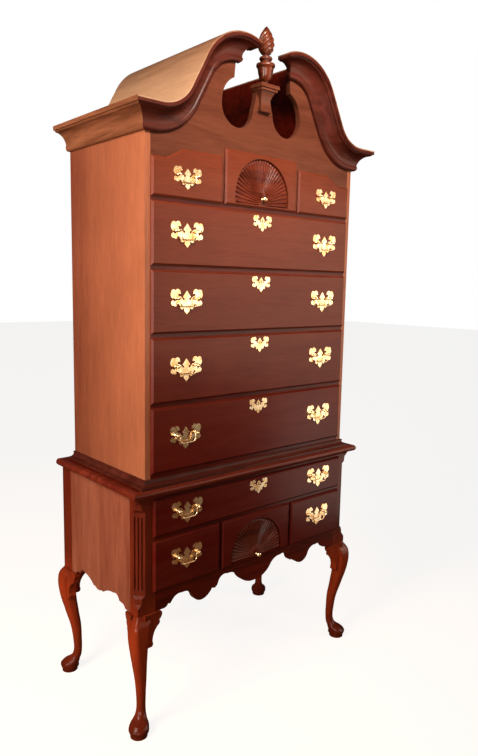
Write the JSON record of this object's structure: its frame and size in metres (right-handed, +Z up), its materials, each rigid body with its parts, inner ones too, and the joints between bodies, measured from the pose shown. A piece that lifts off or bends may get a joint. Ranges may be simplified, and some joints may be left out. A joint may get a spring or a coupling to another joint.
{
  "type": "highboy",
  "caption": "tall two-part chest of drawers with a swan-neck pediment, flame finial, carved shells, scalloped apron and cabriole legs on club feet",
  "frame": {"origin": "middle of the footprint on the floor, at the centre of the overall box", "axes": "+X to the right seen from the front, +Y towards the wall behind, +Z up; drawers pull out towards -Y"},
  "size_m": [1.004, 0.5508, 2.198],
  "materials": {
    "case_wood": "semi-gloss red-brown lacquer",
    "side_wood": "semi-gloss orange-brown lacquer",
    "bonnet_wood": "satin tan lacquer",
    "drawer_fronts": "semi-gloss red-brown lacquer",
    "inner_wood": "unfinished secondary wood",
    "brass": "polished brass toned antique gold"
  },
  "bodies": {
    "case": {"front_legs": "case_wood", "back_legs": "case_wood", "knee_blocks": "case_wood", "lower_sides": "side_wood", "lower_back": "inner_wood", "front_apron": "case_wood", "lower_rails": "case_wood", "lower_runners": "inner_wood", "lower_top": "case_wood", "waist_moulding": "case_wood", "upper_side_right": "side_wood", "upper_side_left": "side_wood", "upper_back": "inner_wood", "upper_boards": "inner_wood", "upper_rails": "case_wood", "upper_runners": "inner_wood", "base_moulding": "case_wood", "scroll_board": "case_wood", "scroll_mouldings": "case_wood", "cornice_returns": "side_wood", "bonnet_sheets": "bonnet_wood", "bonnet_walls": "inner_wood", "plinth": "case_wood", "finial": "case_wood"},
    "drawer_body_row1_left": {"drawer_row1_left": "drawer_fronts", "brasses_row1_left": "brass"},
    "swing_bail_row1_left": {"bail_row1_left": "brass"},
    "drawer_body_row1_centre": {"drawer_row1_centre": "drawer_fronts", "brasses_row1_centre": "brass"},
    "drawer_body_row1_right": {"drawer_row1_right": "drawer_fronts", "brasses_row1_right": "brass"},
    "swing_bail_row1_right": {"bail_row1_right": "brass"},
    "drawer_body_row2": {"drawer_row2": "drawer_fronts", "brasses_row2": "brass"},
    "swing_bail_row2_left": {"bail_row2_left": "brass"},
    "swing_bail_row2_right": {"bail_row2_right": "brass"},
    "drawer_body_row3": {"drawer_row3": "drawer_fronts", "brasses_row3": "brass"},
    "swing_bail_row3_left": {"bail_row3_left": "brass"},
    "swing_bail_row3_right": {"bail_row3_right": "brass"},
    "drawer_body_row4": {"drawer_row4": "drawer_fronts", "brasses_row4": "brass"},
    "swing_bail_row4_left": {"bail_row4_left": "brass"},
    "swing_bail_row4_right": {"bail_row4_right": "brass"},
    "drawer_body_row5": {"drawer_row5": "drawer_fronts", "brasses_row5": "brass"},
    "swing_bail_row5_left": {"bail_row5_left": "brass"},
    "swing_bail_row5_right": {"bail_row5_right": "brass"},
    "drawer_body_row6": {"drawer_row6": "drawer_fronts", "brasses_row6": "brass"},
    "swing_bail_row6_left": {"bail_row6_left": "brass"},
    "swing_bail_row6_right": {"bail_row6_right": "brass"},
    "drawer_body_row7_left": {"drawer_row7_left": "drawer_fronts", "brasses_row7_left": "brass"},
    "swing_bail_row7_left": {"bail_row7_left": "brass"},
    "drawer_body_row7_centre": {"drawer_row7_centre": "drawer_fronts", "brasses_row7_centre": "brass"},
    "drawer_body_row7_right": {"drawer_row7_right": "drawer_fronts", "brasses_row7_right": "brass"},
    "swing_bail_row7_right": {"bail_row7_right": "brass"}
  },
  "joints": [
    {"name": "slide_row1_left", "type": "slide", "parent": "case", "child": "drawer_body_row1_left", "axis": [0, -1, 0], "range_m": [0, 0.3]},
    {"name": "hinge_bail_row1_left", "type": "hinge", "parent": "drawer_body_row1_left", "child": "swing_bail_row1_left", "pos_m": [-0.302, -0.2386, 1.7115], "axis": [-1, 0, 0], "range_deg": [0, 85]},
    {"name": "slide_row1_centre", "type": "slide", "parent": "case", "child": "drawer_body_row1_centre", "axis": [0, -1, 0], "range_m": [0, 0.3]},
    {"name": "slide_row1_right", "type": "slide", "parent": "case", "child": "drawer_body_row1_right", "axis": [0, -1, 0], "range_m": [0, 0.3]},
    {"name": "hinge_bail_row1_right", "type": "hinge", "parent": "drawer_body_row1_right", "child": "swing_bail_row1_right", "pos_m": [0.302, -0.2386, 1.7115], "axis": [-1, 0, 0], "range_deg": [0, 85]},
    {"name": "slide_row2", "type": "slide", "parent": "case", "child": "drawer_body_row2", "axis": [0, -1, 0], "range_m": [0, 0.3]},
    {"name": "hinge_bail_row2_left", "type": "hinge", "parent": "drawer_body_row2", "child": "swing_bail_row2_left", "pos_m": [-0.302, -0.2404, 1.5525], "axis": [-1, 0, 0], "range_deg": [0, 85]},
    {"name": "hinge_bail_row2_right", "type": "hinge", "parent": "drawer_body_row2", "child": "swing_bail_row2_right", "pos_m": [0.302, -0.2404, 1.5525], "axis": [-1, 0, 0], "range_deg": [0, 85]},
    {"name": "slide_row3", "type": "slide", "parent": "case", "child": "drawer_body_row3", "axis": [0, -1, 0], "range_m": [0, 0.3]},
    {"name": "hinge_bail_row3_left", "type": "hinge", "parent": "drawer_body_row3", "child": "swing_bail_row3_left", "pos_m": [-0.302, -0.2404, 1.3565], "axis": [-1, 0, 0], "range_deg": [0, 85]},
    {"name": "hinge_bail_row3_right", "type": "hinge", "parent": "drawer_body_row3", "child": "swing_bail_row3_right", "pos_m": [0.302, -0.2404, 1.3565], "axis": [-1, 0, 0], "range_deg": [0, 85]},
    {"name": "slide_row4", "type": "slide", "parent": "case", "child": "drawer_body_row4", "axis": [0, -1, 0], "range_m": [0, 0.3]},
    {"name": "hinge_bail_row4_left", "type": "hinge", "parent": "drawer_body_row4", "child": "swing_bail_row4_left", "pos_m": [-0.302, -0.2404, 1.1535], "axis": [-1, 0, 0], "range_deg": [0, 85]},
    {"name": "hinge_bail_row4_right", "type": "hinge", "parent": "drawer_body_row4", "child": "swing_bail_row4_right", "pos_m": [0.302, -0.2404, 1.1535], "axis": [-1, 0, 0], "range_deg": [0, 85]},
    {"name": "slide_row5", "type": "slide", "parent": "case", "child": "drawer_body_row5", "axis": [0, -1, 0], "range_m": [0, 0.3]},
    {"name": "hinge_bail_row5_left", "type": "hinge", "parent": "drawer_body_row5", "child": "swing_bail_row5_left", "pos_m": [-0.302, -0.2404, 0.943], "axis": [-1, 0, 0], "range_deg": [0, 85]},
    {"name": "hinge_bail_row5_right", "type": "hinge", "parent": "drawer_body_row5", "child": "swing_bail_row5_right", "pos_m": [0.302, -0.2404, 0.943], "axis": [-1, 0, 0], "range_deg": [0, 85]},
    {"name": "slide_row6", "type": "slide", "parent": "case", "child": "drawer_body_row6", "axis": [0, -1, 0], "range_m": [0, 0.3]},
    {"name": "hinge_bail_row6_left", "type": "hinge", "parent": "drawer_body_row6", "child": "swing_bail_row6_left", "pos_m": [-0.302, -0.2524, 0.708], "axis": [-1, 0, 0], "range_deg": [0, 85]},
    {"name": "hinge_bail_row6_right", "type": "hinge", "parent": "drawer_body_row6", "child": "swing_bail_row6_right", "pos_m": [0.302, -0.2524, 0.708], "axis": [-1, 0, 0], "range_deg": [0, 85]},
    {"name": "slide_row7_left", "type": "slide", "parent": "case", "child": "drawer_body_row7_left", "axis": [0, -1, 0], "range_m": [0, 0.3]},
    {"name": "hinge_bail_row7_left", "type": "hinge", "parent": "drawer_body_row7_left", "child": "swing_bail_row7_left", "pos_m": [-0.302, -0.2524, 0.5585], "axis": [-1, 0, 0], "range_deg": [0, 85]},
    {"name": "slide_row7_centre", "type": "slide", "parent": "case", "child": "drawer_body_row7_centre", "axis": [0, -1, 0], "range_m": [0, 0.3]},
    {"name": "slide_row7_right", "type": "slide", "parent": "case", "child": "drawer_body_row7_right", "axis": [0, -1, 0], "range_m": [0, 0.3]},
    {"name": "hinge_bail_row7_right", "type": "hinge", "parent": "drawer_body_row7_right", "child": "swing_bail_row7_right", "pos_m": [0.302, -0.2524, 0.5585], "axis": [-1, 0, 0], "range_deg": [0, 85]}
  ]
}
